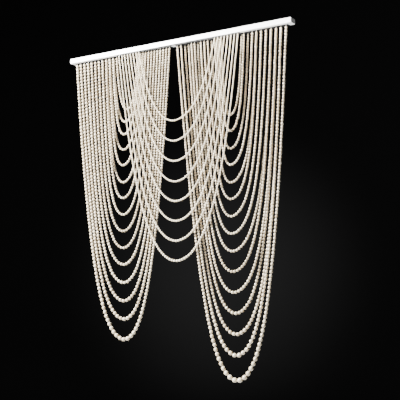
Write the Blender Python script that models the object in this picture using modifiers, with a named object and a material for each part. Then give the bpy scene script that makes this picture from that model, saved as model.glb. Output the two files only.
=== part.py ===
"""Bead curtain on a straight rail: three sets of nested bead loops hang under it.

Units are metres and +Z is up.  The origin is the middle of the rail's top face,
X runs along the rail and -Y is the side that faces the room.
"""

import math
from collections import namedtuple

import bmesh
import bpy

RAIL_LENGTH = 1.200
RAIL_DEPTH = 0.042
RAIL_HEIGHT = 0.0225
RAIL_EDGE = 0.0010

# The strands of a set are tied to its heading strip, which lies just under the rail.
TOUCH_GAP = 0.0003
STRIP_HEIGHT = 0.0020
STRIP_MARGIN = 0.010
STRIP_SIDE = 0.004

# Each strand starts with a short thin link and then keeps the girth of its beads.
LINK_RADIUS = 0.0016
LINK_LENGTH = 0.0040
LINK_SHOULDER = 0.4 * LINK_LENGTH
GIRTH_SHARE = 0.92
FOUR_SIDED = 0

# Beads grow towards a loop's foot; their growth fades within this share of the drop.
GROWTH_HEIGHT = 0.18

# How an arm of a strand is divided: part of the points follow its length, part its bending.
ARM_SEGMENTS = 14
LENGTH_SHARE = 0.42

# How a hanging shape is found: steps up one side, and the sideways pulls to try.
TRACE_STEPS = 240
LEAST_PULL = 0.00001
MOST_PULL = 6.0
PULL_HALVINGS = 40
WELD_DISTANCE = 0.00005

PEARL_COLOUR = (0.86, 0.83, 0.74, 1.0)
PEARL_ROUGHNESS = 0.28
RAIL_COLOUR = (0.90, 0.90, 0.89, 1.0)
RAIL_ROUGHNESS = 0.40

# Rows of strands under the rail, by their place across it.
FRONT_ROW = -0.0162
MIDDLE_ROW = 0.0
BACK_ROW = 0.0158
BACK_ROW_LEFT = 0.0085

# A run is (steps, size): loops counted inwards from the outermost one.
# Bead sizes are (outermost loop, innermost loop).  The foot is a loop's lowest point,
# and each of its two arms hangs from there up to its own end.
# Back loops hang in the back row, because the loops stand closer there than their beads,
# and a little to the left, so that the feet line up when seen from the front right.
SwagSet = namedtuple(
    "SwagSet",
    "name row back_loops left_end left_runs right_end right_runs drop drop_runs "
    "foot foot_runs left_bead right_bead foot_bead foot_power weight_power",
)

SWAG_SETS = (
    SwagSet(
        name="left_swags",
        row=MIDDLE_ROW,
        back_loops=(9, 11, 13),
        left_end=-0.573,
        left_runs=(
            (8, 0.022), (1, 0.0), (1, 0.021), (1, 0.0), (1, 0.021), (1, 0.0), (1, 0.021),
        ),
        right_end=-0.033,
        right_runs=((8, -0.0166), (6, -0.0077)),
        drop=1.340,
        drop_runs=((1, 0.093), (3, 0.084), (7, 0.078), (1, 0.070), (1, 0.063), (1, 0.056)),
        foot=-0.298,
        foot_runs=((9, -0.0004), (2, 0.001), (2, 0.006), (1, 0.014)),
        left_bead=(0.0162, 0.0133),
        right_bead=(0.0122, 0.0112),
        foot_bead=(0.0230, 0.0135),
        foot_power=4.5,
        weight_power=1.6,
    ),
    SwagSet(
        name="centre_swags",
        row=FRONT_ROW,
        back_loops=(),
        left_end=-0.309,
        left_runs=((7, 0.0163),),
        right_end=0.337,
        right_runs=((7, -0.0170),),
        drop=0.992,
        drop_runs=((4, 0.090), (3, 0.094)),
        foot=0.002,
        foot_runs=((3, 0.001), (4, -0.002)),
        left_bead=(0.0090, 0.0085),
        right_bead=(0.0095, 0.0090),
        foot_bead=(0.0136, 0.0098),
        foot_power=1.0,
        weight_power=1.0,
    ),
    SwagSet(
        name="right_swags",
        row=MIDDLE_ROW,
        back_loops=(2, 3, 6, 10, 12, 14),
        left_end=0.010,
        left_runs=((3, 0.020), (4, 0.0165), (4, 0.0185), (3, 0.011)),
        right_end=0.567,
        right_runs=(
            (1, -0.025), (1, 0.0), (1, -0.023), (1, 0.0), (1, -0.025), (1, 0.0),
            (3, -0.024), (1, 0.0), (3, -0.021), (1, -0.012),
        ),
        drop=1.517,
        drop_runs=((1, 0.106), (5, 0.090), (8, 0.076)),
        foot=0.290,
        foot_runs=((3, 0.0), (1, -0.007), (4, -0.0015), (6, 0.0007)),
        left_bead=(0.0124, 0.0112),
        right_bead=(0.0143, 0.0123),
        foot_bead=(0.0262, 0.0130),
        foot_power=4.5,
        weight_power=1.4,
    ),
)

Loop = namedtuple("Loop", "left right drop row foot left_bead right_bead foot_bead weight_power")


def clear_scene():
    for item in list(bpy.data.objects):
        bpy.data.objects.remove(item, do_unlink=True)


def make_material(name, colour, roughness):
    material = bpy.data.materials.new(name)
    material.use_nodes = True
    shader = material.node_tree.nodes["Principled BSDF"]
    shader.inputs["Base Color"].default_value = colour
    shader.inputs["Roughness"].default_value = roughness
    shader.inputs["Metallic"].default_value = 0.0
    return material


def walk_runs(start, runs):
    """Return the values met when the runs' steps are added one after the other."""
    values = [start]
    for steps, size in runs:
        for _ in range(steps):
            values.append(values[-1] + size)
    return values


def between(pair, share):
    return pair[0] + (pair[1] - pair[0]) * share


def loops_of(swags):
    """List the loops of a set, from the outermost and longest one inwards."""
    lefts = walk_runs(swags.left_end, swags.left_runs)
    rights = walk_runs(swags.right_end, swags.right_runs)
    drops = walk_runs(swags.drop, [(steps, -size) for steps, size in swags.drop_runs])
    feet = walk_runs(swags.foot, swags.foot_runs)
    loops = []
    for index, (left, right, drop, foot) in enumerate(zip(lefts, rights, drops, feet)):
        inward = index / (len(drops) - 1)
        outer_bead, inner_bead = swags.foot_bead
        foot_bead = inner_bead + (outer_bead - inner_bead) * (1.0 - inward) ** swags.foot_power
        row, aside = (BACK_ROW, BACK_ROW_LEFT) if index in swags.back_loops else (swags.row, 0.0)
        loops.append(Loop(
            left=left - aside,
            right=right - aside,
            drop=drop,
            row=row,
            foot=foot - aside,
            left_bead=between(swags.left_bead, inward),
            right_bead=between(swags.right_bead, inward),
            foot_bead=foot_bead,
            weight_power=swags.weight_power,
        ))
    return loops


def bead_at(foot_bead, end_bead, height):
    """Bead size at a height above the foot, as a share of the loop's drop."""
    return end_bead + (foot_bead - end_bead) * math.exp(-height / GROWTH_HEIGHT)


def trace_arm(pull, loop, end_bead):
    """Follow one arm of a hanging strand up from its foot under a sideways pull.

    Returns (across, up) points.  The weight of a step grows with its bead size.
    """
    step = loop.drop / TRACE_STEPS
    across, up, weight = 0.0, 0.0, 0.0
    points = [(across, up)]
    while up < loop.drop:
        bead = bead_at(loop.foot_bead, end_bead, up / loop.drop)
        weight += step * (bead / end_bead) ** loop.weight_power
        tension = math.hypot(pull, weight)
        across += step * pull / tension
        up += step * weight / tension
        points.append((across, up))
    return points


def hanging_arm(loop, end, end_bead):
    """Find the pull at which an arm spans from the loop's foot to its end, and trace it."""
    span = abs(end - loop.foot)
    low, high = LEAST_PULL, MOST_PULL
    for _ in range(PULL_HALVINGS):
        pull = 0.5 * (low + high)
        if trace_arm(pull, loop, end_bead)[-1][0] < span:
            low = pull
        else:
            high = pull
    points = trace_arm(0.5 * (low + high), loop, end_bead)
    across_scale = span / points[-1][0]
    up_scale = loop.drop / points[-1][1]
    return [(across * across_scale, up * up_scale) for across, up in points]


def spread_points(points, segments):
    """Choose points along an arm, closer together where the strand bends."""
    lengths = [math.dist(a, b) for a, b in zip(points, points[1:])]
    angles = [math.atan2(b[1] - a[1], b[0] - a[0]) for a, b in zip(points, points[1:])]
    whole_length = sum(lengths)
    whole_turn = angles[-1] - angles[0]
    measure = [0.0]
    for index, length in enumerate(lengths):
        turn = angles[index] - angles[max(index - 1, 0)]
        grown = LENGTH_SHARE * length / whole_length + (1.0 - LENGTH_SHARE) * turn / whole_turn
        measure.append(measure[-1] + grown)
    chosen = []
    index = 0
    for number in range(segments + 1):
        target = measure[-1] * number / segments
        while index < len(measure) - 2 and measure[index + 1] < target:
            index += 1
        share = (target - measure[index]) / (measure[index + 1] - measure[index])
        start, end = points[index], points[index + 1]
        chosen.append((between((start[0], end[0]), share), between((start[1], end[1]), share)))
    return chosen


def strand_points(loop, strip_middle, bead_top):
    """Centre line of a loop with its girth: (x, y, z, radius) from left end to right end."""
    foot_level = bead_top - loop.drop
    line = []
    for end, end_bead in ((loop.left, loop.left_bead), (loop.right, loop.right_bead)):
        side = math.copysign(1.0, end - loop.foot)
        arm = []
        for across, up in spread_points(hanging_arm(loop, end, end_bead), ARM_SEGMENTS):
            radius = 0.5 * bead_at(loop.foot_bead, end_bead, up / loop.drop) * GIRTH_SHARE
            arm.append((loop.foot + side * across, loop.row, foot_level + up, radius))
        x, y, top, _ = arm[-1]
        arm.append((x, y, top + LINK_SHOULDER, LINK_RADIUS))
        arm.append((x, y, strip_middle, LINK_RADIUS))
        line.append(arm)
    left_arm, right_arm = line
    return left_arm[:0:-1] + right_arm


def tube_along(name, points):
    """Make a closed mesh object: a four-sided strand that follows the points."""
    curve = bpy.data.curves.new(name, "CURVE")
    curve.dimensions = "3D"
    curve.twist_mode = "MINIMUM"
    curve.bevel_depth = 1.0
    curve.bevel_resolution = FOUR_SIDED
    curve.use_fill_caps = True
    spline = curve.splines.new("POLY")
    spline.points.add(len(points) - 1)
    for point, (x, y, z, radius) in zip(spline.points, points):
        point.co = (x, y, z, 1.0)
        point.radius = radius
    strand = bpy.data.objects.new(name, curve)
    bpy.context.scene.collection.objects.link(strand)
    bpy.context.view_layer.update()
    evaluated = strand.evaluated_get(bpy.context.evaluated_depsgraph_get())
    mesh = bpy.data.meshes.new_from_object(evaluated)
    place = strand.matrix_world.copy()
    bpy.data.objects.remove(strand, do_unlink=True)
    shape = bmesh.new()
    shape.from_mesh(mesh)
    bmesh.ops.remove_doubles(shape, verts=shape.verts, dist=WELD_DISTANCE)
    bmesh.ops.recalc_face_normals(shape, faces=shape.faces)
    shape.to_mesh(mesh)
    shape.free()
    solid = bpy.data.objects.new(name, mesh)
    solid.matrix_world = place
    return solid


def box(name, size, centre):
    bpy.ops.mesh.primitive_cube_add(size=1.0, location=centre)
    made = bpy.context.object
    made.name = name
    made.scale = size
    bpy.ops.object.transform_apply(location=False, rotation=False, scale=True)
    return made


def move_to(collection, item):
    for other in list(item.users_collection):
        other.objects.unlink(item)
    collection.objects.link(item)


def make_rail(collection, material):
    rail = box("rail", (RAIL_LENGTH, RAIL_DEPTH, RAIL_HEIGHT), (0.0, 0.0, -0.5 * RAIL_HEIGHT))
    bevel = rail.modifiers.new("soft_edges", "BEVEL")
    bevel.width = RAIL_EDGE
    bevel.segments = 2
    rail.data.materials.append(material)
    move_to(collection, rail)


def make_swag_set(swags, collection, material):
    """Fuse the strands of one set to its heading strip, as one closed body."""
    loops = loops_of(swags)
    rows = sorted({loop.row for loop in loops})
    strip_depth = rows[-1] - rows[0] + 2.0 * STRIP_SIDE
    strip_top = -RAIL_HEIGHT - TOUCH_GAP
    strip_middle = strip_top - 0.5 * STRIP_HEIGHT
    bead_top = strip_top - STRIP_HEIGHT - LINK_LENGTH
    left = loops[0].left - STRIP_MARGIN
    right = loops[0].right + STRIP_MARGIN
    strip = box(
        swags.name,
        (right - left, strip_depth, STRIP_HEIGHT),
        (0.5 * (left + right), 0.5 * (rows[0] + rows[-1]), strip_middle),
    )
    strip.data.materials.append(material)
    tubes = []
    for number, loop in enumerate(loops):
        points = strand_points(loop, strip_middle, bead_top)
        tubes.append(tube_along(f"{swags.name}_strand_{number}", points))
    strands = join_meshes(swags.name + "_strands", tubes)
    union = strip.modifiers.new("tie_strands", "BOOLEAN")
    union.operation = "UNION"
    union.object = strands
    bpy.context.view_layer.update()
    evaluated = strip.evaluated_get(bpy.context.evaluated_depsgraph_get())
    fused = bpy.data.meshes.new_from_object(evaluated)
    strip.modifiers.clear()
    strip.data = fused
    bpy.data.objects.remove(strands, do_unlink=True)
    move_to(collection, strip)


def join_meshes(name, pieces):
    """Put the strands, which do not touch each other, into one mesh object."""
    whole = bmesh.new()
    for piece in pieces:
        whole.from_mesh(piece.data)
        bpy.data.objects.remove(piece, do_unlink=True)
    mesh = bpy.data.meshes.new(name)
    whole.to_mesh(mesh)
    whole.free()
    joined = bpy.data.objects.new(name, mesh)
    bpy.context.scene.collection.objects.link(joined)
    return joined


def main():
    clear_scene()
    collection = bpy.data.collections.new("bead_curtain")
    bpy.context.scene.collection.children.link(collection)
    make_rail(collection, make_material("white_paint", RAIL_COLOUR, RAIL_ROUGHNESS))
    pearl = make_material("pearl", PEARL_COLOUR, PEARL_ROUGHNESS)
    for swags in SWAG_SETS:
        make_swag_set(swags, collection, pearl)


main()
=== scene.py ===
"""Dress a bead curtain on a rail: pearls, cords, links, heading strips, paint and a studio.

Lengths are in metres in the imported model's frame: X runs along the rail, -Y faces the room,
+Z is up, and the origin is the middle of the rail's top face.
"""

import math
from collections import namedtuple

import bpy
import numpy as np
from bpy.props import EnumProperty, FloatProperty, FloatVectorProperty, IntProperty
from bpy.props import PointerProperty
from mathutils import Euler, Matrix, Vector


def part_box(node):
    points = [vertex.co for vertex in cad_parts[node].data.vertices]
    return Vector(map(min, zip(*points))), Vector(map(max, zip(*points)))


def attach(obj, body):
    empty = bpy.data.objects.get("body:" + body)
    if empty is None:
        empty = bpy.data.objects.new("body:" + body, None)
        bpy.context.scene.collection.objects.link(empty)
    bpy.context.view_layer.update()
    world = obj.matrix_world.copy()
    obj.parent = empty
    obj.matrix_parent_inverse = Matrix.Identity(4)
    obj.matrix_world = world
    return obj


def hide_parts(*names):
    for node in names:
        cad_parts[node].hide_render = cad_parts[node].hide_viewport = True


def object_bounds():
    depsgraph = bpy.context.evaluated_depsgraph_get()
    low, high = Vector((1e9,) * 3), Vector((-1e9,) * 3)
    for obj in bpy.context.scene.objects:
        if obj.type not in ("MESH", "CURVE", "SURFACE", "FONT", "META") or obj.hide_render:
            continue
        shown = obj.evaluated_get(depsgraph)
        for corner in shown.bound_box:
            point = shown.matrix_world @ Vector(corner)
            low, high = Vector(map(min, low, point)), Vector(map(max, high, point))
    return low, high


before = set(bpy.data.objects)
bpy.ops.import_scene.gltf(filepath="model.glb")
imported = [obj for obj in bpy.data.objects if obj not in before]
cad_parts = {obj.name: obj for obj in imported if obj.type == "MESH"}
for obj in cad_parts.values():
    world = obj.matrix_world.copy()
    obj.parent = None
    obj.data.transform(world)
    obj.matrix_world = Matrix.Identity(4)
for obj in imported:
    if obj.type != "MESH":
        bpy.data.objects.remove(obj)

bl_info = {
    "name": "Bead Curtain on a Rail",
    "version": (1, 0, 0),
    "blender": (4, 5, 0),
    "location": "View3D > Sidebar > Bead Curtain",
    "description": "Strings pearl beads in nested swags under a white ceiling rail",
    "category": "Object",
}

# The frame's own sizes, as the CAD has them.
RAIL_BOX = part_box("rail")
RAIL_UNDERSIDE = RAIL_BOX[0][2]
CAD_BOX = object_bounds()

# From the rail's underside down: a gap, a heading strip, a link, and then the first bead.
TOUCH_GAP = 0.0003
STRIP_HEIGHT = 0.0020
STRIP_MARGIN = 0.010
STRIP_SIDE = 0.004
LINK_LENGTH = 0.0040
STRIP_TOP = RAIL_UNDERSIDE - TOUCH_GAP
STRIP_MIDDLE = STRIP_TOP - 0.5 * STRIP_HEIGHT
BEAD_TOP = STRIP_TOP - STRIP_HEIGHT - LINK_LENGTH

# How a hanging shape is found: steps up one side, and the sideways pulls to try.  Beads
# shrink from the foot upwards over the growth height, a share of their loop's drop.
GROWTH_HEIGHT = 0.18
TRACE_STEPS = 240
LEAST_PULL = 0.00001
MOST_PULL = 6.0
PULL_HALVINGS = 40

# Rows of strands under the rail, by their place across it.
FRONT_ROW = -0.0162
MIDDLE_ROW = 0.0
BACK_ROW = 0.0158
BACK_ROW_LEFT = 0.0085

# A run is (steps, size): loops counted inwards from the outermost one.
# Bead sizes are (outermost loop, innermost loop).  The foot is a loop's lowest point.
SwagSet = namedtuple(
    "SwagSet",
    "name row back_loops left_end left_runs right_end right_runs drop drop_runs "
    "foot foot_runs left_bead right_bead foot_bead foot_power weight_power",
)

SWAG_SETS = (
    SwagSet(
        name="left_swags",
        row=MIDDLE_ROW,
        back_loops=(9, 11, 13),
        left_end=-0.573,
        left_runs=(
            (8, 0.022), (1, 0.0), (1, 0.021), (1, 0.0), (1, 0.021), (1, 0.0), (1, 0.021),
        ),
        right_end=-0.033,
        right_runs=((8, -0.0166), (6, -0.0077)),
        drop=1.340,
        drop_runs=((1, 0.093), (3, 0.084), (7, 0.078), (1, 0.070), (1, 0.063), (1, 0.056)),
        foot=-0.298,
        foot_runs=((9, -0.0004), (2, 0.001), (2, 0.006), (1, 0.014)),
        left_bead=(0.0162, 0.0133),
        right_bead=(0.0122, 0.0112),
        foot_bead=(0.0230, 0.0135),
        foot_power=4.5,
        weight_power=1.6,
    ),
    SwagSet(
        name="centre_swags",
        row=FRONT_ROW,
        back_loops=(),
        left_end=-0.309,
        left_runs=((7, 0.0163),),
        right_end=0.337,
        right_runs=((7, -0.0170),),
        drop=0.992,
        drop_runs=((4, 0.090), (3, 0.094)),
        foot=0.002,
        foot_runs=((3, 0.001), (4, -0.002)),
        left_bead=(0.0090, 0.0085),
        right_bead=(0.0095, 0.0090),
        foot_bead=(0.0136, 0.0098),
        foot_power=1.0,
        weight_power=1.0,
    ),
    SwagSet(
        name="right_swags",
        row=MIDDLE_ROW,
        back_loops=(2, 3, 6, 10, 12, 14),
        left_end=0.010,
        left_runs=((3, 0.020), (4, 0.0165), (4, 0.0185), (3, 0.011)),
        right_end=0.567,
        right_runs=(
            (1, -0.025), (1, 0.0), (1, -0.023), (1, 0.0), (1, -0.025), (1, 0.0),
            (3, -0.024), (1, 0.0), (3, -0.021), (1, -0.012),
        ),
        drop=1.517,
        drop_runs=((1, 0.106), (5, 0.090), (8, 0.076)),
        foot=0.290,
        foot_runs=((3, 0.0), (1, -0.007), (4, -0.0015), (6, 0.0007)),
        left_bead=(0.0124, 0.0112),
        right_bead=(0.0143, 0.0123),
        foot_bead=(0.0262, 0.0130),
        foot_power=4.5,
        weight_power=1.4,
    ),
)

Loop = namedtuple("Loop", "left right drop row foot left_bead right_bead foot_bead weight_power")

# The lightness of each set's strands, from 0 for deep pearl to 1 for light pearl, and how
# far a bead strays from its strand.
TONE_SPREAD = 0.16
# The centre swags in front are painted lighter as painted light, and the side swags behind them
# darker as painted shade.
STRAND_TONES_AND_PAINTED_LIGHT = {
    "left_swags": (0.15, 0.50),
    "centre_swags": (0.85, 1.00),
    "right_swags": (0.15, 0.50),
}

# Beads are joined in batches of neighbouring loops, so that no piece grows too heavy.
BATCHES = (("outer_loops", 0, 5), ("inner_loops", 5, None))

# A bead's faces: round its hole and from hole to hole.  Its poles are found by height.
BEAD_SIDES = 10
BEAD_RINGS = 6
BEAD_POLE = 0.499

# A link's sides, and the cuts across it and the reach of its waist, as shares of its height.
LINK_SIDES = 8
LINK_CUTS = (-0.25, 0.0, 0.25)
LINK_WAIST_HEIGHT = 0.3

# A heading strip's rim round its channel, as a share of the strip's side, and the height of
# a face's normal under which the face looks down.
CHANNEL_RIM = 0.4
FACING_DOWN = -0.9

# Weld distance for the points of a cord, and the room round a copy's square on its map.
CORD_WELD = 0.00002
MAP_MARGIN = 0.06

# Angles under which neighbouring faces are shaded as one surface, in degrees.
SWEEP_ANGLE = 40.0
STRIP_ANGLE = 35.0
LINK_ANGLE = 50.0

# The camera stands to the right of the curtain and a little below its middle.  Its angles
# are in degrees, its lens and sensor in millimetres.
CAMERA_PLACE = (2.3102, -3.6702, -1.2917)
CAMERA_TURN = 30.84
CAMERA_TILT = 7.178
CAMERA_ROLL = -0.903
CAMERA_LENS = 86.73
CAMERA_SENSOR = 36.0
CAMERA_NEAR = 0.05

# Each lamp's width and height, and its place; the spread is in degrees.  Then the faint
# light of the room itself.
KEY_SIDES = (1.0, 1.0)
KEY_PLACE = (-1.96, -2.34, 1.13)
BACK_SIDES = (2.0, 2.0)
BACK_PLACE = (-1.6, 4.0, 0.6)
RAIL_LIGHT_SIDES = (1.3, 0.1)
RAIL_LIGHT_PLACE = (0.0, -1.0, -0.55)
RAIL_LIGHT_SPREAD = 5.0
ROOM_COLOUR = (0.5, 0.5, 0.52, 1.0)
ROOM_STRENGTH = 0.01

# The studio's sweep: sides of the floor's disc, cuts of the rounded corner, the height under
# which an edge lies on the floor, and the share of its reach where the floor stays pale.
SWEEP_SIDES = 96
COVE_CUTS = 12
ON_FLOOR = 0.001
PALE_SHARE = 0.45


class CurtainSizes(bpy.types.PropertyGroup):
    """Sizes of the small parts; the swags' own sizes follow the CAD."""

    bead_width: FloatProperty(
        name="Bead width",
        description="A bead's width as a share of its room on the cord",
        default=0.83,
        min=0.5,
        max=1.0,
        subtype="FACTOR",
    )
    bead_length: FloatProperty(
        name="Bead length",
        description="A bead's length along the cord as a share of its room there",
        default=0.94,
        min=0.5,
        max=1.0,
        subtype="FACTOR",
    )
    cord_diameter: FloatProperty(
        name="Cord diameter",
        description="Thickness of the cord that runs through the beads",
        default=0.0011,
        min=0.0004,
        unit="LENGTH",
    )
    size_spread: FloatProperty(
        name="Size spread",
        description="How far a bead's room may stray from its neighbours', as a share",
        default=0.025,
        min=0.0,
        max=0.2,
        subtype="FACTOR",
    )
    seat_spread: FloatProperty(
        name="Seat spread",
        description="How far a bead sits beside its cord's line",
        default=0.00025,
        min=0.0,
        unit="LENGTH",
    )
    hole_flat: FloatProperty(
        name="Flat round the hole",
        description="How far the bead's surface is pulled in at its drilled hole, as a share",
        default=0.06,
        min=0.0,
        max=0.3,
        subtype="FACTOR",
    )
    link_diameter: FloatProperty(
        name="Link diameter",
        description="Thickness of the small turned link at the end of a strand",
        default=0.0036,
        min=0.001,
        unit="LENGTH",
    )
    link_waist: FloatProperty(
        name="Link waist",
        description="Thickness of a link at its waist, as a share of its diameter",
        default=0.62,
        min=0.2,
        max=1.0,
        subtype="FACTOR",
    )
    channel_depth: FloatProperty(
        name="Channel depth",
        description="Depth of the channel in a heading strip, where the links are seated",
        default=0.0006,
        min=0.0,
        unit="LENGTH",
    )
    strip_edge: FloatProperty(
        name="Strip edge",
        description="Width of the soft edge of a heading strip",
        default=0.0003,
        min=0.0,
        unit="LENGTH",
    )
    seed: IntProperty(
        name="Seed",
        description="Number from which the beads' small differences are drawn",
        default=7,
    )


class CurtainFinish(bpy.types.PropertyGroup):
    """Colours and gloss of the curtain's materials."""

    pearl_light: FloatVectorProperty(
        name="Light pearl",
        description="Colour of the lightest beads",
        default=(0.82, 0.73, 0.555, 1.0),
        size=4,
        min=0.0,
        max=1.0,
        subtype="COLOR",
    )
    pearl_deep: FloatVectorProperty(
        name="Deep pearl",
        description="Colour of the warmest beads",
        default=(0.42, 0.335, 0.22, 1.0),
        size=4,
        min=0.0,
        max=1.0,
        subtype="COLOR",
    )
    pearl_gloss: FloatProperty(
        name="Pearl gloss",
        description="Weight of the clear lacquer over the pearl coat",
        default=0.55,
        min=0.0,
        max=1.0,
        subtype="FACTOR",
    )
    cord_colour: FloatVectorProperty(
        name="Cord",
        description="Colour of the cord and of the links",
        default=(0.84, 0.79, 0.68, 1.0),
        size=4,
        min=0.0,
        max=1.0,
        subtype="COLOR",
    )
    # The heading strips are near black as painted shade, standing in for the shadow under the
    # rail between the strands.
    heading_dark: FloatVectorProperty(
        name="Heading dark",
        description="Colour of the heading strips, which lie in the rail's shadow",
        default=(0.012, 0.012, 0.012, 1.0),
        size=4,
        min=0.0,
        max=1.0,
        subtype="COLOR",
    )
    rail_white: FloatVectorProperty(
        name="Rail white",
        description="Colour of the paint on the rail",
        default=(0.74, 0.74, 0.735, 1.0),
        size=4,
        min=0.0,
        max=1.0,
        subtype="COLOR",
    )


class CurtainStudio(bpy.types.PropertyGroup):
    """Sizes, colours and lamps of the studio round the curtain."""

    floor_level: FloatProperty(
        name="Floor level",
        description="Height of the studio floor, from the rail's top face",
        default=-2.40,
        unit="LENGTH",
    )
    sweep_radius: FloatProperty(
        name="Sweep radius",
        description="Radius of the round floor and of the wall that rises from it",
        default=7.0,
        min=3.0,
        unit="LENGTH",
    )
    wall_height: FloatProperty(
        name="Wall height",
        description="Height of the wall above the floor",
        default=6.5,
        min=1.0,
        unit="LENGTH",
    )
    cove_radius: FloatProperty(
        name="Cove radius",
        description="Radius of the curve between the floor and the wall",
        default=0.9,
        min=0.0,
        unit="LENGTH",
    )
    floor_colour: FloatVectorProperty(
        name="Floor",
        description="Colour of the floor",
        default=(0.42, 0.42, 0.415, 1.0),
        size=4,
        min=0.0,
        max=1.0,
        subtype="COLOR",
    )
    floor_reach: FloatProperty(
        name="Floor reach",
        description="Distance from the middle at which the pale floor has turned dark",
        default=5.4,
        min=1.0,
        unit="LENGTH",
    )
    wall_colour: FloatVectorProperty(
        name="Wall",
        description="Colour of the dark wall",
        default=(0.0024, 0.0024, 0.0024, 1.0),
        size=4,
        min=0.0,
        max=1.0,
        subtype="COLOR",
    )
    # The wall's glow is painted light: a soft pool of light painted on the wall behind the
    # curtain, not cast by a lamp.
    painted_glow_colour: FloatVectorProperty(
        name="Glow",
        description="Colour at the middle of the wall's soft glow, behind the curtain",
        default=(0.0125, 0.0125, 0.0126, 1.0),
        size=4,
        min=0.0,
        max=1.0,
        subtype="COLOR",
    )
    painted_glow_place: FloatVectorProperty(
        name="Glow place",
        description="Middle of the wall's soft glow",
        default=(-3.3, 6.2, -0.7),
        size=3,
        subtype="TRANSLATION",
        unit="LENGTH",
    )
    painted_glow_radius: FloatProperty(
        name="Glow radius",
        description="Distance at which the glow has faded",
        default=2.2,
        min=0.1,
        unit="LENGTH",
    )
    key_power: FloatProperty(
        name="Key light",
        description="Power of the soft light above on the left",
        default=1600.0,
        min=0.0,
        unit="POWER",
    )
    back_power: FloatProperty(
        name="Back light",
        description="Power of the weak light behind the curtain on the left",
        default=50.0,
        min=0.0,
        unit="POWER",
    )
    rail_power: FloatProperty(
        name="Rail light",
        description="Power of the narrow light in front of the rail and below it",
        default=1.5,
        min=0.0,
        unit="POWER",
    )


class BeadCurtain(bpy.types.PropertyGroup):
    """All settings of the bead curtain."""

    sizes: PointerProperty(type=CurtainSizes)
    finish: PointerProperty(type=CurtainFinish)
    studio: PointerProperty(type=CurtainStudio)


# The swags' shape, worked out as the CAD works it out.


def walk_runs(start, runs):
    """Return the values met when the runs' steps are added one after the other."""
    values = [start]
    for steps, size in runs:
        for _ in range(steps):
            values.append(values[-1] + size)
    return values


def between(pair, share):
    return pair[0] + (pair[1] - pair[0]) * share


def loops_of(swags):
    """List the loops of a set, from the outermost and longest one inwards."""
    lefts = walk_runs(swags.left_end, swags.left_runs)
    rights = walk_runs(swags.right_end, swags.right_runs)
    drops = walk_runs(swags.drop, [(steps, -size) for steps, size in swags.drop_runs])
    feet = walk_runs(swags.foot, swags.foot_runs)
    outer_bead, inner_bead = swags.foot_bead
    loops = []
    for index, (left, right, drop, foot) in enumerate(zip(lefts, rights, drops, feet)):
        inward = index / (len(drops) - 1)
        foot_bead = inner_bead + (outer_bead - inner_bead) * (1.0 - inward) ** swags.foot_power
        row, aside = (BACK_ROW, BACK_ROW_LEFT) if index in swags.back_loops else (swags.row, 0.0)
        loops.append(Loop(
            left=left - aside,
            right=right - aside,
            drop=drop,
            row=row,
            foot=foot - aside,
            left_bead=between(swags.left_bead, inward),
            right_bead=between(swags.right_bead, inward),
            foot_bead=foot_bead,
            weight_power=swags.weight_power,
        ))
    return loops


def bead_at(foot_bead, end_bead, height):
    """Bead size at a height above the foot, as a share of the loop's drop."""
    return end_bead + (foot_bead - end_bead) * math.exp(-height / GROWTH_HEIGHT)


def trace_arm(pull, loop, end_bead):
    """Follow one arm of a hanging strand up from its foot under a sideways pull.

    Returns (across, up) points.  The weight of a step grows with its bead size.
    """
    step = loop.drop / TRACE_STEPS
    across, up, weight = 0.0, 0.0, 0.0
    points = [(across, up)]
    while up < loop.drop:
        bead = bead_at(loop.foot_bead, end_bead, up / loop.drop)
        weight += step * (bead / end_bead) ** loop.weight_power
        tension = math.hypot(pull, weight)
        across += step * pull / tension
        up += step * weight / tension
        points.append((across, up))
    return points


def hanging_arm(loop, end, end_bead):
    """Find the pull at which an arm spans from the loop's foot to its end, and trace it."""
    span = abs(end - loop.foot)
    low, high = LEAST_PULL, MOST_PULL
    for _ in range(PULL_HALVINGS):
        pull = 0.5 * (low + high)
        if trace_arm(pull, loop, end_bead)[-1][0] < span:
            low = pull
        else:
            high = pull
    points = trace_arm(0.5 * (low + high), loop, end_bead)
    across_scale = span / points[-1][0]
    up_scale = loop.drop / points[-1][1]
    return [(across * across_scale, up * up_scale) for across, up in points]


def cord_line(loop):
    """Points along a loop's cord from its left end to its right end, as (x, y, z, bead)."""
    arms = []
    for end, end_bead in ((loop.left, loop.left_bead), (loop.right, loop.right_bead)):
        side = math.copysign(1.0, end - loop.foot)
        arm = []
        for across, up in hanging_arm(loop, end, end_bead):
            bead = bead_at(loop.foot_bead, end_bead, up / loop.drop)
            arm.append((loop.foot + side * across, loop.row, BEAD_TOP - loop.drop + up, bead))
        arms.append(arm)
    left_arm, right_arm = arms
    return np.array(left_arm[:0:-1] + right_arm)


Beads = namedtuple("Beads", "middles rooms along knots")


def thread_beads(line, size_spread, chance):
    """Divide a cord into rooms, one for each bead, from end to end.

    The rooms follow the bead sizes along the line, each with a small difference of its own.
    Knots are the points between two rooms, and the cord's two ends.
    """
    steps = np.linalg.norm(np.diff(line[:, :3], axis=0), axis=1)
    length = np.concatenate(([0.0], np.cumsum(steps)))
    bead = 0.5 * (line[1:, 3] + line[:-1, 3])
    count = np.concatenate(([0.0], np.cumsum(steps / bead)))
    beads = round(count[-1])
    shares = 1.0 + size_spread * chance.uniform(-1.0, 1.0, beads)
    marks = np.concatenate(([0.0], np.cumsum(shares))) * count[-1] / shares.sum()
    edges = np.interp(marks, count, length)
    knots = points_at(edges, length, line)
    return Beads(
        middles=points_at(0.5 * (edges[1:] + edges[:-1]), length, line),
        rooms=np.diff(edges),
        along=np.diff(knots, axis=0) / np.linalg.norm(np.diff(knots, axis=0), axis=1)[:, None],
        knots=knots,
    )


def points_at(places, length, line):
    return np.column_stack([np.interp(places, length, line[:, axis]) for axis in range(3)])


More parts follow.
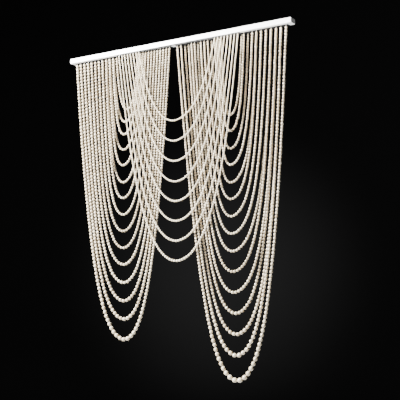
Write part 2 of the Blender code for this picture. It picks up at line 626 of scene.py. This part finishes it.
def strand_of(swag_name, number, loop, sizes):
    """Thread one loop.  The same loop always gets the same beads, whichever piece asks."""
    order = [swags.name for swags in SWAG_SETS].index(swag_name)
    chance = np.random.default_rng((sizes.seed, order, number))
    return thread_beads(cord_line(loop), sizes.size_spread, chance), chance


def swags_named(name):
    return next(swags for swags in SWAG_SETS if swags.name == name)


# Modelling helpers.


def deselect_all():
    if bpy.context.object is not None and bpy.context.object.mode != "OBJECT":
        bpy.ops.object.mode_set(mode="OBJECT")
    bpy.ops.object.select_all(action="DESELECT")


def select_only(item):
    deselect_all()
    item.select_set(True)
    bpy.context.view_layer.objects.active = item


def pick(item, kind, wanted):
    """Select the object's vertices or faces for which wanted(place, normal) is true."""
    bpy.ops.object.mode_set(mode="EDIT")
    bpy.ops.mesh.select_mode(type=kind)
    bpy.ops.mesh.select_all(action="DESELECT")
    bpy.ops.object.mode_set(mode="OBJECT")
    parts = item.data.vertices if kind == "VERT" else item.data.polygons
    for part in parts:
        place = part.co if kind == "VERT" else part.center
        part.select = wanted(place, part.normal)
    bpy.ops.object.mode_set(mode="EDIT")


def apply_place(item):
    """Put an object's place, turn and size into its mesh."""
    select_only(item)
    bpy.ops.object.transform_apply(location=True, rotation=True, scale=True)


def apply_modifiers(item):
    select_only(item)
    for modifier in list(item.modifiers):
        bpy.ops.object.modifier_apply(modifier=modifier.name)


def shade_softly(item, degrees):
    select_only(item)
    bpy.ops.object.shade_smooth_by_angle(angle=math.radians(degrees))


def read_numbers(items, field, kind, width=1):
    found = np.empty(len(items) * width, kind)
    items.foreach_get(field, found)
    return found.reshape(-1, width) if width > 1 else found


def turns_along(along, rolls):
    """Rotation matrices whose Z axis lies along each direction, rolled about it."""
    side = np.tile((0.0, 1.0, 0.0), (len(along), 1))
    other = np.cross(along, side)
    cos, sin = np.cos(rolls)[:, None], np.sin(rolls)[:, None]
    return np.stack((cos * side + sin * other, cos * other - sin * side, along), axis=2)


def join_copies(name, model, places, turns, sizes, tones):
    """Make one mesh object of a model's copies, each turned, sized and put in its place.

    Each copy carries its own tone.  On the OFBake map each copy has a small square of its
    own, so that a baked picture keeps the copies apart.
    """
    mesh = model.data
    points = read_numbers(mesh.vertices, "co", np.float32, 3)
    corners = read_numbers(mesh.loops, "vertex_index", np.int32)
    starts = read_numbers(mesh.polygons, "loop_start", np.int32)
    flat = read_numbers(mesh.uv_layers.active.uv, "vector", np.float32, 2)
    copies = np.arange(len(places))

    moved = np.einsum("nij,vj->nvi", turns * sizes[:, None, None], points) + places[:, None, :]
    joined = bpy.data.meshes.new(name)
    joined.vertices.add(len(places) * len(points))
    joined.vertices.foreach_set("co", moved.astype(np.float32).ravel())
    joined.loops.add(len(places) * len(corners))
    joined.loops.foreach_set(
        "vertex_index", (corners[None, :] + copies[:, None] * len(points)).ravel()
    )
    joined.polygons.add(len(places) * len(starts))
    joined.polygons.foreach_set(
        "loop_start", (starts[None, :] + copies[:, None] * len(corners)).ravel()
    )
    joined.update(calc_edges=True)

    columns = math.ceil(math.sqrt(len(places)))
    squares = np.column_stack((copies % columns, copies // columns))
    inside = MAP_MARGIN + flat[None, :, :] * (1.0 - 2.0 * MAP_MARGIN)
    spots = (squares[:, None, :] + inside) / columns
    layer = joined.uv_layers.new(name="OFBake")
    layer.uv.foreach_set("vector", spots.astype(np.float32).ravel())
    tone = joined.attributes.new("bead_tone_and_painted_light", "FLOAT", "POINT")
    tone.data.foreach_set("value", np.repeat(tones, len(points)).astype(np.float32))
    joined.validate()

    whole = bpy.data.objects.new(name, joined)
    bpy.context.scene.collection.objects.link(whole)
    bpy.data.objects.remove(model, do_unlink=True)
    return whole


# Materials.


def new_material(name):
    """Start a node material; returns (material, its node tree, its shader)."""
    material = bpy.data.materials.new(name)
    material.use_nodes = True
    return material, material.node_tree, material.node_tree.nodes["Principled BSDF"]


def add_node(tree, kind, column, row, **values):
    """Add a node in a column to the left of the shader, with its inputs set by name."""
    node = tree.nodes.new(kind)
    node.location = (-260.0 * column, 300.0 - 260.0 * row)
    for socket, value in values.items():
        node.inputs[socket.replace("_", " ").title()].default_value = value
    return node


def add_noise(tree, column, row, scale, detail=2.0, stretch=None):
    """Add a noise pattern on Object coordinates, stretched along an axis if asked."""
    place = add_node(tree, "ShaderNodeTexCoord", column + 2, row)
    noise = add_node(tree, "ShaderNodeTexNoise", column, row, scale=scale, detail=detail)
    if stretch is None:
        tree.links.new(place.outputs["Object"], noise.inputs["Vector"])
        return noise
    mapping = add_node(tree, "ShaderNodeMapping", column + 1, row, scale=stretch)
    tree.links.new(place.outputs["Object"], mapping.inputs["Vector"])
    tree.links.new(mapping.outputs["Vector"], noise.inputs["Vector"])
    return noise


def add_ramp(tree, column, row, source, stops):
    """Add a colour ramp with (place, colour) stops, fed by a socket."""
    ramp = add_node(tree, "ShaderNodeValToRGB", column, row)
    elements = ramp.color_ramp.elements
    while len(elements) < len(stops):
        elements.new(0.5)
    for element, (place, colour) in zip(elements, stops):
        element.position = place
        element.color = colour
    tree.links.new(source, ramp.inputs["Fac"])
    return ramp


def add_range(tree, column, row, source, low, high):
    """Add a node that turns 0..1 into low..high."""
    span = add_node(tree, "ShaderNodeMapRange", column, row, to_min=low, to_max=high)
    tree.links.new(source, span.inputs["Value"])
    return span


def add_bump(tree, row, source, shader, strength, distance):
    bump = add_node(tree, "ShaderNodeBump", 1, row, strength=strength, distance=distance)
    tree.links.new(source, bump.inputs["Height"])
    tree.links.new(bump.outputs["Normal"], shader.inputs["Normal"])


def add_mix(tree, column, row, share, first, second):
    """Mix two colours; the share is a number or a socket, a colour is a value or a socket."""
    mix = tree.nodes.new("ShaderNodeMix")
    mix.data_type = "RGBA"
    mix.location = (-260.0 * column, 300.0 - 260.0 * row)
    sockets = (mix.inputs[0], mix.inputs[6], mix.inputs[7])
    for socket, value in zip(sockets, (share, first, second)):
        if isinstance(value, bpy.types.NodeSocket):
            tree.links.new(value, socket)
        else:
            socket.default_value = value
    return mix.outputs[2]


def shaded(colour, share):
    """A colour made darker by a share, with its alpha kept."""
    return (colour[0] * share, colour[1] * share, colour[2] * share, 1.0)


def make_pearl(finish):
    """Pearl lacquer: each bead has its own warmth, which also carries painted light on the
    centre swags and painted shade on the side swags, with soft clouds and a clear gloss.
    """
    material, tree, shader = new_material("pearl_lacquer")
    tone = tree.nodes.new("ShaderNodeAttribute")
    tone.attribute_name = "bead_tone_and_painted_light"
    tone.location = (-1300.0, 300.0)
    warmth = add_ramp(tree, 4, 0, tone.outputs["Fac"], (
        (0.0, tuple(finish.pearl_deep)),
        (0.40, tuple(between(pair, 0.5) for pair in zip(finish.pearl_deep, finish.pearl_light))),
        (1.0, tuple(finish.pearl_light)),
    ))
    clouds = add_noise(tree, 4, 1, scale=110.0, detail=3.0)
    cloud_share = add_range(tree, 3, 1, clouds.outputs["Fac"], 0.0, 0.45)
    colour = add_mix(
        tree, 2, 0, cloud_share.outputs["Result"], warmth.outputs["Color"],
        shaded(finish.pearl_deep, 1.04),
    )
    tree.links.new(colour, shader.inputs["Base Color"])
    gloss = add_range(tree, 3, 2, clouds.outputs["Fac"], 0.20, 0.36)
    tree.links.new(gloss.outputs["Result"], shader.inputs["Roughness"])
    grain = add_noise(tree, 4, 3, scale=900.0, detail=2.0)
    add_bump(tree, 3, grain.outputs["Fac"], shader, strength=0.06, distance=0.0004)
    shader.inputs["Coat Weight"].default_value = finish.pearl_gloss
    shader.inputs["Coat Roughness"].default_value = 0.10
    shader.inputs["Coat IOR"].default_value = 1.55
    return material


def make_cord_fibre(finish):
    """Waxed cord: a fine uneven fibre with little shine."""
    material, tree, shader = new_material("waxed_cord")
    fibre = add_noise(tree, 4, 0, scale=1400.0, detail=3.0)
    colour = add_ramp(tree, 2, 0, fibre.outputs["Fac"], (
        (0.30, shaded(finish.cord_colour, 0.80)),
        (0.70, tuple(finish.cord_colour)),
    ))
    tree.links.new(colour.outputs["Color"], shader.inputs["Base Color"])
    wax = add_range(tree, 2, 1, fibre.outputs["Fac"], 0.45, 0.70)
    tree.links.new(wax.outputs["Result"], shader.inputs["Roughness"])
    add_bump(tree, 2, fibre.outputs["Fac"], shader, strength=0.3, distance=0.0002)
    return material


def make_link_lacquer(finish):
    """Cream lacquer on the turned links, a little worn in patches."""
    material, tree, shader = new_material("link_lacquer")
    wear = add_noise(tree, 4, 0, scale=600.0, detail=2.0)
    colour = add_ramp(tree, 2, 0, wear.outputs["Fac"], (
        (0.35, shaded(finish.cord_colour, 0.9)),
        (0.65, tuple(finish.pearl_light)),
    ))
    tree.links.new(colour.outputs["Color"], shader.inputs["Base Color"])
    gloss = add_range(tree, 2, 1, wear.outputs["Fac"], 0.25, 0.42)
    tree.links.new(gloss.outputs["Result"], shader.inputs["Roughness"])
    shader.inputs["Coat Weight"].default_value = 0.3
    shader.inputs["Coat Roughness"].default_value = 0.15
    return material


def make_satin_paint(finish):
    """Sprayed satin paint: a fine orange peel, and faint drags along the rail."""
    material, tree, shader = new_material("satin_white_paint")
    drags = add_noise(tree, 4, 0, scale=9.0, detail=3.0, stretch=(0.35, 3.0, 3.0))
    colour = add_ramp(tree, 2, 0, drags.outputs["Fac"], (
        (0.30, shaded(finish.rail_white, 0.965)),
        (0.60, tuple(finish.rail_white)),
    ))
    tree.links.new(colour.outputs["Color"], shader.inputs["Base Color"])
    satin = add_range(tree, 2, 1, drags.outputs["Fac"], 0.34, 0.46)
    tree.links.new(satin.outputs["Result"], shader.inputs["Roughness"])
    peel = add_noise(tree, 4, 2, scale=420.0, detail=1.5)
    add_bump(tree, 2, peel.outputs["Fac"], shader, strength=0.08, distance=0.0005)
    shader.inputs["Coat Weight"].default_value = 0.15
    shader.inputs["Coat Roughness"].default_value = 0.25
    return material


def make_painted_shade_tape(finish):
    """Woven tape, nearly black as painted shade for the shadow under the rail: a fine uneven
    weave with no shine.
    """
    material, tree, shader = new_material("painted_shade_tape")
    weave = add_noise(tree, 4, 0, scale=900.0, detail=2.0, stretch=(1.0, 2.5, 1.0))
    colour = add_ramp(tree, 2, 0, weave.outputs["Fac"], (
        (0.30, shaded(finish.heading_dark, 0.6)),
        (0.70, tuple(finish.heading_dark)),
    ))
    tree.links.new(colour.outputs["Color"], shader.inputs["Base Color"])
    shader.inputs["Roughness"].default_value = 0.85
    shader.inputs["Specular IOR Level"].default_value = 0.2
    add_bump(tree, 2, weave.outputs["Fac"], shader, strength=0.25, distance=0.0002)
    return material


def add_nearness(tree, row, place, full, none):
    """Add nodes that give 1 near a place and fall softly to 0; returns the socket."""
    here = add_node(tree, "ShaderNodeTexCoord", 6, row)
    away = tree.nodes.new("ShaderNodeVectorMath")
    away.operation = "DISTANCE"
    away.location = (-260.0 * 5, 300.0 - 260.0 * row)
    away.inputs[1].default_value = place
    tree.links.new(here.outputs["Object"], away.inputs[0])
    near = add_node(
        tree, "ShaderNodeMapRange", 4, row, from_min=full, from_max=none, to_min=1.0, to_max=0.0,
    )
    near.interpolation_type = "SMOOTHERSTEP"
    tree.links.new(away.outputs["Value"], near.inputs["Value"])
    return near.outputs["Result"]


def make_sweep_paint(studio):
    """Studio paint: a pale floor, and a near black wall with a soft glow of painted light on it.
    """
    material, tree, shader = new_material("studio_sweep")
    middle = (0.0, 0.0, studio.floor_level)
    reach = studio.floor_reach
    floor = add_nearness(tree, 0, middle, PALE_SHARE * reach, reach)
    # Painted light: a soft pool of light painted on the wall behind the curtain.
    glow = add_nearness(tree, 1, tuple(studio.painted_glow_place), 0.0, studio.painted_glow_radius)
    wall = add_mix(tree, 3, 1, glow, tuple(studio.wall_colour), tuple(studio.painted_glow_colour))
    colour = add_mix(tree, 2, 0, floor, wall, tuple(studio.floor_colour))
    tree.links.new(colour, shader.inputs["Base Color"])
    shader.inputs["Roughness"].default_value = 0.9
    shader.inputs["Specular IOR Level"].default_value = 0.0
    return material


def wear(item, material):
    item.data.materials.clear()
    item.data.materials.append(material)


def material_named(name, make, settings):
    return bpy.data.materials.get(name) or make(settings)


# Operators: one for each kind of piece, and one for the studio.

SWAG_CHOICE = [
    (swags.name, swags.name.replace("_", " ").capitalize(), "One of the three sets of swags")
    for swags in SWAG_SETS
]


class CURTAIN_OT_build_studio(bpy.types.Operator):
    """Set the camera, the soft lights and the round sweep of floor and wall"""

    bl_idname = "curtain.build_studio"
    bl_label = "Build the studio"

    def execute(self, context):
        studio = context.scene.bead_curtain.studio
        self.place_camera(context)
        self.build_sweep(studio)
        middle = 0.5 * (Vector(CAD_BOX[0]) + Vector(CAD_BOX[1]))
        under_rail = Vector((0.0, 0.0, RAIL_UNDERSIDE))
        self.hang_light("key_light", studio.key_power, KEY_SIDES, KEY_PLACE, middle)
        self.hang_light("back_light", studio.back_power, BACK_SIDES, BACK_PLACE, middle)
        strip = self.hang_light(
            "rail_light", studio.rail_power, RAIL_LIGHT_SIDES, RAIL_LIGHT_PLACE, under_rail
        )
        strip.data.spread = math.radians(RAIL_LIGHT_SPREAD)
        self.darken_room(context)
        return {"FINISHED"}

    def place_camera(self, context):
        bpy.ops.object.camera_add(location=CAMERA_PLACE)
        camera = context.object
        camera.name = "camera"
        tilt = Euler((math.radians(90.0 + CAMERA_TILT), 0.0, math.radians(CAMERA_TURN)))
        roll = Matrix.Rotation(math.radians(CAMERA_ROLL), 3, "Z")
        camera.rotation_euler = (tilt.to_matrix() @ roll).to_euler()
        camera.data.lens = CAMERA_LENS
        camera.data.sensor_width = CAMERA_SENSOR
        camera.data.clip_start = CAMERA_NEAR
        context.scene.camera = camera

    def build_sweep(self, studio):
        """Draw the floor as a disc, raise its rim as the wall and round the corner."""
        deselect_all()
        bpy.ops.mesh.primitive_circle_add(
            vertices=SWEEP_SIDES, radius=studio.sweep_radius, fill_type="NGON",
            location=(0.0, 0.0, studio.floor_level),
        )
        sweep = bpy.context.object
        sweep.name = "studio_sweep"
        bpy.ops.object.mode_set(mode="EDIT")
        bpy.ops.mesh.select_mode(type="EDGE")
        bpy.ops.mesh.select_all(action="SELECT")
        bpy.ops.mesh.region_to_loop()
        bpy.ops.mesh.extrude_edges_move(
            TRANSFORM_OT_translate={"value": (0.0, 0.0, studio.wall_height)}
        )
        bpy.ops.mesh.select_all(action="DESELECT")
        bpy.ops.object.mode_set(mode="OBJECT")
        for edge in sweep.data.edges:
            heights = [sweep.data.vertices[index].co.z for index in edge.vertices]
            edge.select = max(heights) < ON_FLOOR
        bpy.ops.object.mode_set(mode="EDIT")
        bpy.ops.mesh.bevel(offset=studio.cove_radius, segments=COVE_CUTS)
        bpy.ops.mesh.select_all(action="SELECT")
        bpy.ops.mesh.normals_make_consistent(inside=True)
        bpy.ops.object.mode_set(mode="OBJECT")
        apply_place(sweep)
        shade_softly(sweep, SWEEP_ANGLE)
        wear(sweep, make_sweep_paint(studio))

    def hang_light(self, name, power, sides, place, target):
        bpy.ops.object.light_add(type="AREA", location=place)
        light = bpy.context.object
        light.name = name
        light.data.energy = power
        light.data.shape = "RECTANGLE"
        light.data.size, light.data.size_y = sides
        light.visible_camera = False
        towards = target - Vector(place)
        light.rotation_euler = towards.to_track_quat("-Z", "Y").to_euler()
        return light

    def darken_room(self, context):
        world = bpy.data.worlds.new("dark_room")
        world.use_nodes = True
        air = world.node_tree.nodes["Background"]
        air.inputs["Color"].default_value = ROOM_COLOUR
        air.inputs["Strength"].default_value = ROOM_STRENGTH
        context.scene.world = world


class CURTAIN_OT_paint_rail(bpy.types.Operator):
    """Paint the rail, whose shape comes from the CAD"""

    bl_idname = "curtain.paint_rail"
    bl_label = "Paint the rail"

    def execute(self, context):
        finish = context.scene.bead_curtain.finish
        wear(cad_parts["rail"], material_named("satin_white_paint", make_satin_paint, finish))
        return {"FINISHED"}


class CURTAIN_OT_fit_heading(bpy.types.Operator):
    """Fit a set's heading strip under the rail, with a shallow channel for its links"""

    bl_idname = "curtain.fit_heading"
    bl_label = "Fit a heading strip"

    swag_set: EnumProperty(name="Swags", description="Which swags", items=SWAG_CHOICE)

    def execute(self, context):
        settings = context.scene.bead_curtain
        loops = loops_of(swags_named(self.swag_set))
        rows = sorted({loop.row for loop in loops})
        left = loops[0].left - STRIP_MARGIN
        right = loops[0].right + STRIP_MARGIN
        size = Vector((right - left, rows[-1] - rows[0] + 2.0 * STRIP_SIDE, STRIP_HEIGHT))
        deselect_all()
        bpy.ops.mesh.primitive_cube_add(
            size=1.0, location=(0.5 * (left + right), 0.5 * (rows[0] + rows[-1]), STRIP_MIDDLE),
        )
        strip = context.object
        strip.name = self.swag_set.replace("swags", "heading")
        strip.scale = size
        apply_place(strip)
        pick(strip, "FACE", lambda place, normal: normal.z < FACING_DOWN)
        bpy.ops.mesh.inset(thickness=CHANNEL_RIM * STRIP_SIDE)
        bpy.ops.mesh.extrude_region_move(
            TRANSFORM_OT_translate={"value": (0.0, 0.0, settings.sizes.channel_depth)}
        )
        bpy.ops.object.mode_set(mode="OBJECT")
        edge = strip.modifiers.new("soft_edges", "BEVEL")
        edge.width = settings.sizes.strip_edge
        edge.segments = 2
        apply_modifiers(strip)
        shade_softly(strip, STRIP_ANGLE)
        # The strip is painted near black, as painted shade under the rail.
        wear(strip, material_named("painted_shade_tape", make_painted_shade_tape, settings.finish))
        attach(strip, "root")
        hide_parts(self.swag_set)
        return {"FINISHED"}


class CURTAIN_OT_thread_cords(bpy.types.Operator):
    """Run a set's cords through its beads, from link to link"""

    bl_idname = "curtain.thread_cords"
    bl_label = "Thread the cords"

    swag_set: EnumProperty(name="Swags", description="Which swags", items=SWAG_CHOICE)

    def execute(self, context):
        settings = context.scene.bead_curtain
        name = self.swag_set.replace("swags", "cords")
        curve = bpy.data.curves.new(name, "CURVE")
        curve.dimensions = "3D"
        curve.bevel_depth = 0.5 * settings.sizes.cord_diameter
        curve.bevel_resolution = 0
        curve.use_fill_caps = True
        for number, loop in enumerate(loops_of(swags_named(self.swag_set))):
            beads, _ = strand_of(self.swag_set, number, loop, settings.sizes)
            ends = beads.knots[[0, -1]] + (0.0, 0.0, 0.5 * LINK_LENGTH)
            points = np.vstack((ends[:1], beads.knots, ends[1:]))
            spline = curve.splines.new("POLY")
            spline.points.add(len(points) - 1)
            places = np.column_stack((points, np.ones(len(points))))
            spline.points.foreach_set("co", places.astype(np.float32).ravel())
        cords = bpy.data.objects.new(name, curve)
        context.scene.collection.objects.link(cords)
        select_only(cords)
        bpy.ops.object.convert(target="MESH")
        cords = context.object
        bpy.ops.object.mode_set(mode="EDIT")
        bpy.ops.mesh.select_all(action="SELECT")
        bpy.ops.mesh.remove_doubles(threshold=CORD_WELD)
        bpy.ops.mesh.normals_make_consistent(inside=False)
        bpy.ops.object.mode_set(mode="OBJECT")
        bpy.ops.object.shade_smooth()
        wear(cords, material_named("waxed_cord", make_cord_fibre, settings.finish))
        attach(cords, "root")
        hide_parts(self.swag_set)
        return {"FINISHED"}


class CURTAIN_OT_hang_links(bpy.types.Operator):
    """Hang a small turned link at each end of a set's strands"""

    bl_idname = "curtain.hang_links"
    bl_label = "Hang the links"

    swag_set: EnumProperty(name="Swags", description="Which swags", items=SWAG_CHOICE)

    def execute(self, context):
        settings = context.scene.bead_curtain
        top, bottom = STRIP_MIDDLE, BEAD_TOP
        places = []
        for loop in loops_of(swags_named(self.swag_set)):
            for end in (loop.left, loop.right):
                places.append((end, loop.row, 0.5 * (top + bottom)))
        count = len(places)
        links = join_copies(
            self.swag_set.replace("swags", "links"),
            self.turn_link(settings.sizes, top - bottom),
            places=np.array(places),
            turns=np.tile(np.eye(3), (count, 1, 1)),
            sizes=np.ones(count),
            tones=np.full(count, 0.5),
        )
        shade_softly(links, LINK_ANGLE)
        wear(links, material_named("link_lacquer", make_link_lacquer, settings.finish))
        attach(links, "root")
        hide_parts(self.swag_set)
        return {"FINISHED"}

    def turn_link(self, sizes, height):
        """Model a barrel with flat collars and a waist."""
        deselect_all()
        radius = 0.5 * sizes.link_diameter
        bpy.ops.mesh.primitive_cylinder_add(vertices=LINK_SIDES, radius=radius, depth=height)
        link = bpy.context.object
        bpy.ops.object.mode_set(mode="EDIT")
        for level in LINK_CUTS:
            bpy.ops.mesh.select_all(action="SELECT")
            bpy.ops.mesh.bisect(plane_co=(0.0, 0.0, level * height), plane_no=(0.0, 0.0, 1.0))
        bpy.ops.object.mode_set(mode="OBJECT")
        near_waist = LINK_WAIST_HEIGHT * height
        pick(link, "VERT", lambda place, normal: abs(place.z) < near_waist)
        bpy.ops.transform.resize(
            value=(sizes.link_waist, sizes.link_waist, 1.0), center_override=(0.0, 0.0, 0.0)
        )
        bpy.ops.object.mode_set(mode="OBJECT")
        return link


class CURTAIN_OT_string_beads(bpy.types.Operator):
    """String a set's beads on its cords, each close to the next"""

    bl_idname = "curtain.string_beads"
    bl_label = "String the beads"

    swag_set: EnumProperty(name="Swags", description="Which swags", items=SWAG_CHOICE)

    def execute(self, context):
        settings = context.scene.bead_curtain
        sizes = settings.sizes
        loops = loops_of(swags_named(self.swag_set))
        for batch, first, last in BATCHES:
            middles, rooms, turns, tones = [], [], [], []
            for number in range(first, len(loops) if last is None else last):
                beads, chance = strand_of(self.swag_set, number, loops[number], sizes)
                count = len(beads.rooms)
                seats = chance.normal(0.0, sizes.seat_spread, (count, 3))
                seats -= beads.along * np.sum(seats * beads.along, axis=1)[:, None]
                middles.append(beads.middles + seats)
                rooms.append(beads.rooms)
                turns.append(turns_along(beads.along, chance.uniform(0.0, 2.0 * math.pi, count)))
                tones.append(self.tones_of(count, chance))
            strands = join_copies(
                self.swag_set.replace("swags", "beads") + "_" + batch,
                self.model_bead(sizes),
                places=np.vstack(middles),
                turns=np.vstack(turns),
                sizes=np.concatenate(rooms),
                tones=np.concatenate(tones),
            )
            select_only(strands)
            bpy.ops.object.shade_smooth()
            wear(strands, material_named("pearl_lacquer", make_pearl, settings.finish))
            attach(strands, "root")
            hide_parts(self.swag_set)
        return {"FINISHED"}

    def tones_of(self, count, chance):
        """Warmth of each bead: a tone for the whole strand, painted lighter on the centre swags
        as painted light and darker on the side swags as painted shade, and a random difference
        for each bead.
        """
        strand = chance.uniform(*STRAND_TONES_AND_PAINTED_LIGHT[self.swag_set])
        return np.clip(strand + chance.normal(0.0, TONE_SPREAD, count), 0.0, 1.0)

    def model_bead(self, sizes):
        """Model a bead for a room of 1 m, its surface pulled in where it is drilled."""
        deselect_all()
        bpy.ops.mesh.primitive_uv_sphere_add(
            segments=BEAD_SIDES, ring_count=BEAD_RINGS, radius=0.5, calc_uvs=True
        )
        bead = bpy.context.object
        pick(bead, "VERT", lambda place, normal: abs(place.z) > BEAD_POLE)
        bpy.ops.transform.resize(
            value=(1.0, 1.0, 1.0 - sizes.hole_flat), center_override=(0.0, 0.0, 0.0)
        )
        bpy.ops.object.mode_set(mode="OBJECT")
        bead.scale = (sizes.bead_width, sizes.bead_width, sizes.bead_length)
        apply_place(bead)
        return bead


class CURTAIN_PT_panel(bpy.types.Panel):
    """Lists the curtain's pieces, its sizes and its colours"""

    bl_idname = "CURTAIN_PT_panel"
    bl_label = "Bead Curtain"
    bl_space_type = "VIEW_3D"
    bl_region_type = "UI"
    bl_category = "Bead Curtain"

    def draw(self, context):
        settings = context.scene.bead_curtain
        layout = self.layout
        layout.operator(CURTAIN_OT_build_studio.bl_idname)
        layout.operator(CURTAIN_OT_paint_rail.bl_idname)
        for swags in SWAG_SETS:
            box = layout.box()
            box.label(text=swags.name.replace("_", " ").capitalize())
            for operator in SWAG_OPERATORS:
                box.operator(operator.bl_idname).swag_set = swags.name
        for group in (settings.sizes, settings.finish, settings.studio):
            box = layout.box()
            for name in group.bl_rna.properties.keys():
                if name not in ("rna_type", "name"):
                    box.prop(group, name)


SWAG_OPERATORS = (
    CURTAIN_OT_fit_heading,
    CURTAIN_OT_thread_cords,
    CURTAIN_OT_hang_links,
    CURTAIN_OT_string_beads,
)
CLASSES = (
    CurtainSizes,
    CurtainFinish,
    CurtainStudio,
    BeadCurtain,
    CURTAIN_OT_build_studio,
    CURTAIN_OT_paint_rail,
    *SWAG_OPERATORS,
    CURTAIN_PT_panel,
)


def register():
    for item in CLASSES:
        bpy.utils.register_class(item)
    bpy.types.Scene.bead_curtain = PointerProperty(type=BeadCurtain)


def unregister():
    del bpy.types.Scene.bead_curtain
    for item in reversed(CLASSES):
        bpy.utils.unregister_class(item)


def main():
    register()
    bpy.ops.curtain.build_studio()
    bpy.ops.curtain.paint_rail()
    for swags in SWAG_SETS:
        bpy.ops.curtain.fit_heading(swag_set=swags.name)
        bpy.ops.curtain.thread_cords(swag_set=swags.name)
        bpy.ops.curtain.hang_links(swag_set=swags.name)
        bpy.ops.curtain.string_beads(swag_set=swags.name)


if __name__ == "__main__":
    main()
